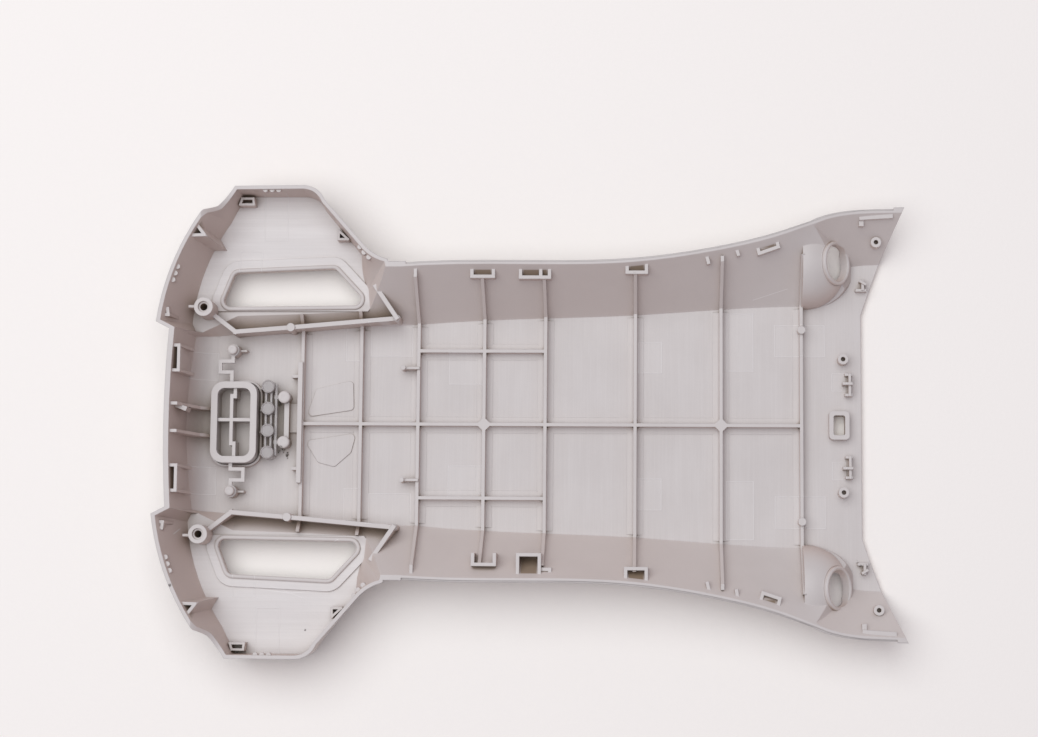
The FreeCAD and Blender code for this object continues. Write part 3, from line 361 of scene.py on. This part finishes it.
def piece(name, grids, material, body="shell"):
    """One object of closed grids in millimetres, each given as its points and whether its rows close.
    Doubles are merged and the faces turned outwards."""
    points, faces, count = [], [], 0
    for grid, round_rows in grids:
        points.append(grid.reshape(-1, 3) * MM)
        faces.append(skin(grid.shape[0], grid.shape[1], round_rows) + count)
        count += len(points[-1])
    mesh = bpy.data.meshes.new(name)
    mesh.from_pydata(np.concatenate(points).tolist(), [], np.concatenate(faces).tolist())
    work = bmesh.new()
    work.from_mesh(mesh)
    bmesh.ops.remove_doubles(work, verts=work.verts, dist=1e-7)
    loose = [edge for edge in work.edges if not edge.link_faces]
    bmesh.ops.delete(work, geom=loose, context="EDGES")
    bmesh.ops.recalc_face_normals(work, faces=work.faces)
    work.to_mesh(mesh)
    work.free()
    mesh.polygons.foreach_set("use_smooth", np.ones(len(mesh.polygons), bool))
    mesh.set_sharp_from_angle(angle=radians(40))
    item = bpy.data.objects.new(name, mesh)
    bpy.context.scene.collection.objects.link(item)
    use(item, material)
    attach(item, body)


def carried(path, aside, profile, height, closed):
    """A profile of (aside, up) carried along a path of (x, y): each ring of points is the path's point, plus
    the profile's first number along the path's own sideways direction, and its second added to a height.
    The ends of an open path close onto the middle of their ring."""
    flat = path[:, None, :] + aside[:, None, :] * profile[None, :, :1]
    up = np.broadcast_to(height + profile[None, :, 1:], (len(path), len(profile), 1))
    grid = np.concatenate([flat, up], axis=-1)
    if closed:
        return grid, True
    caps = [np.repeat(ring.mean(0)[None, None], len(profile), axis=1) for ring in (grid[0], grid[-1])]
    return np.concatenate([caps[0], grid, caps[1]]), False


def turned(profile, middle, facing, steps=64):
    """A closed profile of (radius, height) turned round an axis: each point is the middle, plus its height
    along the axis, plus its radius times the cosine and sine of the turn on the two directions across it."""
    facing = np.array(facing, float)
    across = np.cross(facing, (0.0, 1.0, 0.0))
    across /= np.linalg.norm(across)
    other = np.cross(facing, across)
    turn = np.linspace(0, 2 * np.pi, steps, endpoint=False)[:, None, None]
    radius, height = profile[None, :, :1], profile[None, :, 1:]
    spun = radius * (np.cos(turn) * across + np.sin(turn) * other)
    return np.array(middle) + height * facing + spun, True


def crowned(inner, outer, low, high, steps=12):
    """A closed profile between two widths: flat below, and on top half an ellipse from low to high."""
    turn = np.linspace(0, np.pi, steps)
    middle, half = (inner + outer) / 2, (outer - inner) / 2
    top = np.stack([middle + half * np.cos(turn), low + (high - low) * np.sin(turn)], axis=-1)
    foot = np.array([(inner, low - FOOT_DEPTH), (outer, low - FOOT_DEPTH)])
    return np.concatenate([top, foot])


def rounded_path(corners, radius, offset, steps=10):
    """The outline of a polygon with rounded corners, moved outwards by an offset: round each corner's own
    centre, the offset radius sweeps from the direction across the side before to that across the side
    after. It gives the points and the outward directions."""
    corners = np.array(corners, float)
    run = np.roll(corners, -1, axis=0) - corners
    run /= np.linalg.norm(run, axis=1)[:, None]
    after = np.stack([run[:, 1], -run[:, 0]], axis=1)
    before = np.roll(after, 1, axis=0)
    mitre = (before + after) / (1 + (before * after).sum(1))[:, None]
    centres = corners - mitre * radius
    start = np.arctan2(before[:, 1], before[:, 0])
    sweep = (np.arctan2(after[:, 1], after[:, 0]) - start) % (2 * np.pi)
    angle = (start[:, None] + sweep[:, None] * np.linspace(0, 1, steps)).ravel()
    out = np.stack([np.cos(angle), np.sin(angle)], axis=1)
    return np.repeat(centres, steps, axis=0) + out * (radius + offset), out


# ---------------------------------------------------------------- finishes

def marked(finish, settings, colour, normal, level):
    """Adds what the mould and handling left on the floors: plate outlines, tooling streaks, scratches and
    specks, and lightens the wing floors as a whole. It gives the colour, the normal and the streaks."""
    across = abs(finish.y)
    worn, dark = rgba(settings.worn_and_highlight_colour), rgba(settings.dirt_colour)
    floors = finish.z.fall(14.0, 15.0)
    line, plate = None, None
    for mark in WITNESS_MARKS:
        distance = finish.outline(mark, across)
        edge, field = abs(distance).fall(0.06, 0.26), distance.fall(-0.05, 0.05)
        line, plate = (edge, field) if line is None else (line.atleast(edge), plate.atleast(field))
    tray = finish.z.fall(2.5, 3.0)
    wing = finish.layer(7.9, 8.9) * across.rise(45.0, 47.0) * finish.x.fall(-64.0, -60.0)
    wing = wing * level.rise(0.5, 0.9)
    streaks = tray * finish.streaks(0.7, 34.0) + wing * finish.streaks(38.0, 0.6)
    broad = tray * finish.streaks(5.0, 60.0) + wing * finish.streaks(70.0, 4.0)
    # Besides the tooling streaks, the wing floors are made lighter as a whole.
    pale = streaks.rise(0.35, 0.8) * 0.14 + broad.rise(0.42, 0.7) * (0.05 + 0.12 * wing) + 0.42 * wing
    colour = finish.blend(pale, colour, worn)
    colour = finish.blend(line * floors * 0.45 + plate * tray * 0.10, colour, worn)
    for start, end, wide in SCRATCHES:
        colour = finish.blend(finish.segment(start, end, wide) * 0.8, colour, worn)
    grit = finish.noise(0.8, 2.0).rise(0.40, 0.55)
    for x, y, radius in SPECKS:
        colour = finish.blend(finish.spot(x, y, radius) * grit * 0.9, colour, dark)
    normal = finish.bump(streaks, 0.000018, normal)
    normal = finish.bump(line * floors, 0.00007, normal)
    return colour, normal, streaks


def pocket_shade(finish):
    """Painted shade in the sockets: how far each place lies inside one of them, times how brown that
    socket's painted shade is.
    """
    brown = None
    for *mark, top, strength in SHADED_POCKETS:
        inside = finish.outline(mark, finish.y).fall(-0.9, 0.1) * finish.z.fall(top - 0.4, top)
        inside = inside * strength
        brown = inside if brown is None else brown.atleast(inside)
    return brown


def shell_material(settings):
    """Satin grey plastic: soft mottling, a fine grain, edges lightened by wear and a painted highlight,
    tooling streaks and marks, painted warm bounce light on upright walls, and painted brown shade in corners
    and sockets.
    """
    finish = Finish("shell_plastic")
    base, mottled, painted_bounce = map(rgba, (settings.shell_colour, settings.mottle_colour, settings.painted_bounce_colour))
    softened = finish.rounded(settings.edge_radius)
    openness = finish.openness(0.010)
    mottle = finish.noise(30.0, 4.0, 0.6).rise(0.38, 0.68)
    colour = finish.blend(mottle * 0.55, base, mottled)
    colour = finish.blend(finish.noise(1.4, 3.0, 0.7).rise(0.3, 0.8) * 0.12, colour, mottled)
    level = finish.level()
    inside = level.rise(-0.1, -0.02)
    # Painted bounce light: upright walls are tinted warmer and browner by how steep they stand.
    colour = finish.blend(level.fall(0.2, 0.95) * inside * 0.8, colour, painted_bounce)
    # Outward edges are lightened: partly wear, partly a painted highlight along the softened edges.
    worn_and_highlit = finish.at_edges(softened, openness) * finish.noise(4.0, 2.0).rise(0.3, 0.7) * 0.3
    colour = finish.blend(worn_and_highlit, colour, rgba(settings.worn_and_highlight_colour))
    normal = finish.bump(finish.noise(0.7, 3.0, 0.6), settings.grain_depth, softened)
    colour, normal, streaks = marked(finish, settings, colour, normal, level)
    # Painted shade: places closed in within 10 mm, and the insides of the sockets, sink towards a dark
    # brown.
    painted_shade = (openness.fall(0.08, 0.55) * 0.75).atleast(pocket_shade(finish) * inside)
    colour = finish.blend(painted_shade, colour, rgba(settings.painted_shade_colour))
    roughness = settings.roughness + 0.14 * (finish.noise(18.0, 3.0) - 0.5) + 0.12 * streaks
    return finish.surface(base_color=colour, roughness=roughness, normal=normal, specular_ior_level=0.4)


def button_material(settings):
    """The same satin plastic on the button, a little greyer and smoother."""
    finish = Finish("button_plastic")
    softened = finish.rounded(settings.edge_radius * 0.8)
    openness = finish.openness(0.010)
    mottle = finish.noise(7.0, 4.0, 0.6).rise(0.3, 0.7)
    greyer = [channel * 0.98 for channel in settings.shell_colour]
    colour = finish.blend(mottle * 0.4, rgba(greyer), rgba(settings.mottle_colour))
    # Outward edges are lightened: partly wear, partly a painted highlight.
    worn_and_highlit = finish.at_edges(softened, openness) * (0.05 + 0.3 * finish.noise(2.5, 2.0))
    colour = finish.blend(worn_and_highlit, colour, rgba(settings.worn_and_highlight_colour))
    # Painted shade: the button's hollows and corners darken towards brown.
    colour = finish.blend(openness.fall(0.05, 0.5) * 0.5, colour, rgba(settings.painted_shade_colour))
    normal = finish.bump(finish.noise(0.6, 3.0, 0.6), settings.grain_depth * 0.8, softened)
    roughness = settings.roughness - 0.04 + 0.12 * (finish.noise(6.0, 3.0) - 0.5)
    return finish.surface(base_color=colour, roughness=roughness, normal=normal, specular_ior_level=0.45)


def guide_material(settings):
    """Clear plastic with faint flow lines, glossy and slightly clouded."""
    finish = Finish("guide_plastic")
    softened = finish.rounded(0.00022)
    cloud = finish.noise(2.2, 3.0, 0.6).rise(0.35, 0.75)
    colour = finish.blend(cloud * 0.5, rgba(settings.guide_colour), rgba(settings.shell_colour))
    normal = finish.bump(finish.noise(1.1, 2.0), 0.00003, softened)
    roughness = 0.12 + 0.16 * cloud
    return finish.surface(base_color=colour, roughness=roughness, normal=normal, transmission_weight=0.35,
                          ior=1.46)


def crumb_material(settings):
    """Dull dark residue with lighter dusty patches."""
    finish = Finish("pin_residue")
    dust = finish.noise(0.5, 3.0).rise(0.45, 0.7)
    colour = finish.blend(dust * 0.4, rgba(settings.dirt_colour), rgba(settings.mottle_colour))
    normal = finish.bump(finish.noise(0.25, 3.0), 0.0001, finish.rounded(0.00005))
    return finish.surface(base_color=colour, roughness=0.8 - 0.2 * dust, normal=normal)


# ---------------------------------------------------------------- operators

class HOUSING_OT_stage(Operator):
    """Lays the floor, the lamp, the sky and the camera."""

    bl_idname = "housing.stage"
    bl_label = "Stage"

    def execute(self, context):
        settings = context.scene.housing_stage
        mesh = bpy.data.meshes.new("floor")
        corners = [(FLOOR_REACH * x, FLOOR_REACH * y, 0) for x, y in ((-1, -1), (1, -1), (1, 1), (-1, 1))]
        mesh.from_pydata(corners, [], [(0, 1, 2, 3)])
        floor = bpy.data.objects.new("floor", mesh)
        context.scene.collection.objects.link(floor)
        finish = Finish("floor_paper")
        flat = finish.add("ShaderNodeNewGeometry", {}, {}, "Normal")
        grain = finish.bump(finish.noise(1.2, 3.0), 0.00006, flat)
        use(floor, finish.surface(base_color=rgba(settings.floor_colour), roughness=0.9,
                                  specular_ior_level=0.1, normal=grain))

        lamp = bpy.data.lights.new("key", "AREA")
        lamp.shape = "DISK"
        lamp.size = LAMP_SIZE
        lamp.energy = settings.key_power
        lamp.color = LAMP_COLOUR
        key = bpy.data.objects.new("key", lamp)
        key.location = LAMP_PLACE
        key.rotation_euler = key.location.to_track_quat("Z", "Y").to_euler()
        context.scene.collection.objects.link(key)

        world = bpy.data.worlds.new("sky")
        world.use_nodes = True
        background = world.node_tree.nodes["Background"]
        background.inputs["Color"].default_value = SKY_COLOUR
        background.inputs["Strength"].default_value = settings.sky_strength
        context.scene.world = world

        lens = bpy.data.cameras.new("camera")
        lens.lens = CAMERA_LENS
        lens.sensor_width = 36.0
        lens.sensor_fit = "HORIZONTAL"
        camera = bpy.data.objects.new("camera", lens)
        camera.location = CAMERA_PLACE
        camera.rotation_euler = [radians(turn) for turn in CAMERA_TURN]
        context.scene.collection.objects.link(camera)
        context.scene.camera = camera
        context.scene.view_settings.view_transform = "Standard"
        return {"FINISHED"}


class HOUSING_OT_shell(Operator):
    """Gives the housing its satin grey plastic."""

    bl_idname = "housing.shell"
    bl_label = "Shell finish"

    def execute(self, context):
        use(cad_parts["housing"], shell_material(context.scene.housing_finish))
        return {"FINISHED"}


class HOUSING_OT_coves(Operator):
    """Lays the hollow curve that joins the ribs to the tray's floor, round each cell between them."""

    bl_idname = "housing.coves"
    bl_label = "Rib coves"

    def execute(self, context):
        detail = context.scene.housing_detail
        wide, high = detail.cove_width / MM, detail.cove_height / MM
        turn = np.linspace(0, np.pi / 2, 7)
        hollow = np.stack([wide * (1 - np.sin(turn)), high * (1 - np.cos(turn)) + HAIR], axis=-1)
        back, under = COVE_SINK
        profile = np.concatenate([hollow, [(back, high), (back, under), (wide, under)]])
        grids = []
        for cell, (left, right) in enumerate(zip(CROSS_RIBS, CROSS_RIBS[1:])):
            low_x, high_x = left + RIB_HALF, right - RIB_HALF
            steps = [0.0, SHORT_RIB_Y] if cell in SHORT_RIB_CELLS else [0.0]
            for side in (1, -1):
                for start, end in zip(steps, steps[1:]):
                    grids.append(self.ring(low_x, high_x, start, end, side, profile))
                grids.append(self.bay(low_x, high_x, steps[-1], side, profile))
        piece("rib_coves", grids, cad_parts["housing"].active_material)
        return {"FINISHED"}

    def ring(self, low_x, high_x, start, end, side, profile):
        """The cove all round a closed cell."""
        low, high = sorted((side * (start + RIB_HALF), side * (end - RIB_HALF)))
        corners = [(low_x, low), (high_x, low), (high_x, high), (low_x, high)]
        path, out = rounded_path(corners, CELL_CORNER, 0.0)
        return carried(path, -out, profile, TRAY_FLOOR, True)

    def bay(self, low_x, high_x, start, side, profile):
        """The cove on the three sides of a cell that is open towards the slope."""
        foot = start + RIB_HALF
        ends = [np.interp(x, *CREASE) - 1.0 for x in (high_x, low_x)]
        corners = [(low_x, foot), (high_x, foot), (high_x, ends[0]), (low_x, ends[1])]
        path, out = rounded_path(corners, CELL_CORNER, 0.0)
        count = len(path) // 4
        path, out = path[:2 * count], out[:2 * count]
        path = np.concatenate([[(low_x, ends[1])], path, [(high_x, ends[0])]]) * (1, side)
        out = np.concatenate([[(-1, 0)], out, [(1, 0)]]) * (1, side)
        return carried(path, -out, profile, TRAY_FLOOR, False)


class HOUSING_OT_openings(Operator):
    """Puts the rounded bead on the lip of each wing's opening."""

    bl_idname = "housing.openings"
    bl_label = "Opening beads"

    def execute(self, context):
        high = context.scene.housing_detail.bead_height / MM
        for name, side in (("upper", 1), ("lower", -1)):
            path, out = rounded_path(OPENING, OPENING_CORNER, 0.0)
            profile = crowned(HAIR, LIP_WIDTH - HAIR, LIP_HEIGHT, LIP_HEIGHT + high)
            grids = [carried(path * (1, side), out * (1, side), profile, WING_FLOOR, True)]
            piece(f"opening_bead_{name}", grids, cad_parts["housing"].active_material)
        return {"FINISHED"}


class HOUSING_OT_ports(Operator):
    """Puts a rounded lip on each port's ring and a softer one on the step behind it."""

    bl_idname = "housing.ports"
    bl_label = "Port collars"

    def execute(self, context):
        high = context.scene.housing_detail.collar_height / MM
        tilt = radians(PORT_TILT)
        facing = (np.sin(tilt), 0.0, np.cos(tilt))
        for name, side in (("upper", 1), ("lower", -1)):
            middle = (PORT[0], side * PORT[1], PORT[2])
            lip = crowned(PORT_BORE + HAIR, PORT_RING - HAIR, -0.05, high)
            step = crowned(PORT_RING - 0.1, PORT_SLEEVE - HAIR, -PORT_STEP - 0.05, 0.6 * high - PORT_STEP)
            grids = [turned(profile, middle, facing) for profile in (lip, step)]
            piece(f"port_collar_{name}", grids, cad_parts["housing"].active_material)
        return {"FINISHED"}


class HOUSING_OT_pins(Operator):
    """Puts the melted dome on the two pins of the button and the two of the light guide."""

    bl_idname = "housing.pins"
    bl_label = "Pin heads"

    def execute(self, context):
        high = context.scene.housing_detail.dome_height / MM
        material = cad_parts["housing"].active_material
        for name, places, radius in (("button", BUTTON_PINS, BUTTON_PIN_RADIUS),
                                     ("guide", GUIDE_PINS, GUIDE_PIN_RADIUS)):
            for end, place in zip(("upper", "lower"), places):
                share = np.linspace(0, 1, 14)
                crown = high * np.sqrt(1 - share ** 2)
                dimple = DIMPLE_DEPTH * np.clip(1 - share / DIMPLE_SHARE, 0, 1) ** 0.5
                top = np.stack([radius * share, crown - dimple], axis=-1)
                foot = np.array([(radius, -PIN_DEPTH), (0.0, -PIN_DEPTH)])
                grids = [turned(np.concatenate([top, foot]), place, (0.0, 0.0, 1.0))]
                piece(f"{name}_pin_{end}", grids, material)
        return {"FINISHED"}


class HOUSING_OT_button(Operator):
    """Gives the button its plastic."""

    bl_idname = "housing.button"
    bl_label = "Button finish"

    def execute(self, context):
        use(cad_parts["power_button"], button_material(context.scene.housing_finish))
        return {"FINISHED"}


class HOUSING_OT_guide(Operator):
    """Gives the light guide its clear plastic, with a raised ring on each of its pipes."""

    bl_idname = "housing.guide"
    bl_label = "Light guide"

    def execute(self, context):
        material = guide_material(context.scene.housing_finish)
        use(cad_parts["light_guide"], material)
        profile = crowned(GUIDE_RING_INNER, GUIDE_RING_OUTER, -HAIR, GUIDE_RING_HEIGHT)
        grids = [turned(profile, (x, y, GUIDE_TOP), (0.0, 0.0, 1.0)) for x, y in GUIDE_PIPES]
        piece("guide_rings", grids, material)
        return {"FINISHED"}


class HOUSING_OT_residue(Operator):
    """Scatters the small dark crumbs beside the light guide's pins."""

    bl_idname = "housing.residue"
    bl_label = "Residue"

    def execute(self, context):
        draws = np.random.default_rng(7)
        across = np.linspace(0, 2 * np.pi, 12, endpoint=False)[:, None]
        up = np.linspace(0, np.pi, 8)[None, :]
        ball = np.stack([np.cos(across) * np.sin(up), np.sin(across) * np.sin(up),
                         np.cos(up) + 0 * across], axis=-1)
        grids = []
        for x, y, spread, count in CRUMBS:
            for _ in range(count):
                middle = (x + draws.normal(0, spread), y + draws.normal(0, spread), TRAY_FLOOR + 0.15)
                sizes = draws.uniform(0.12, 0.38, 3)
                lumps = 1 + 0.25 * np.sin(3 * across + draws.uniform(0, 6)) * np.sin(2 * up) ** 2
                grids.append((middle + ball * lumps[..., None] * sizes, True))
        piece("pin_residue", grids, crumb_material(context.scene.housing_finish))
        return {"FINISHED"}


class HOUSING_PT_panel(Panel):
    """Lists the steps that dress the housing, and their settings."""

    bl_label = "Housing"
    bl_idname = "HOUSING_PT_panel"
    bl_space_type = "VIEW_3D"
    bl_region_type = "UI"
    bl_category = "Housing"

    def draw(self, context):
        for step in STEPS:
            self.layout.operator(step.bl_idname)
        for name, group in GROUPS.items():
            for size in group.__annotations__:
                self.layout.prop(getattr(context.scene, name), size)


GROUPS = {"housing_finish": HousingFinish, "housing_detail": HousingDetail, "housing_stage": StageSettings}
STEPS = (HOUSING_OT_stage, HOUSING_OT_shell, HOUSING_OT_coves, HOUSING_OT_openings, HOUSING_OT_ports,
         HOUSING_OT_pins, HOUSING_OT_button, HOUSING_OT_guide, HOUSING_OT_residue)


def register():
    for kind in (*GROUPS.values(), *STEPS, HOUSING_PT_panel):
        bpy.utils.register_class(kind)
    for name, group in GROUPS.items():
        setattr(bpy.types.Scene, name, PointerProperty(type=group))


def unregister():
    for name in GROUPS:
        delattr(bpy.types.Scene, name)
    for kind in (HOUSING_PT_panel, *reversed(STEPS), *reversed(GROUPS.values())):
        bpy.utils.unregister_class(kind)


def main():
    register()
    bpy.ops.housing.stage()
    bpy.ops.housing.shell()
    bpy.ops.housing.coves()
    bpy.ops.housing.openings()
    bpy.ops.housing.ports()
    bpy.ops.housing.pins()
    bpy.ops.housing.button()
    bpy.ops.housing.guide()
    bpy.ops.housing.residue()


if __name__ == "__main__":
    main()
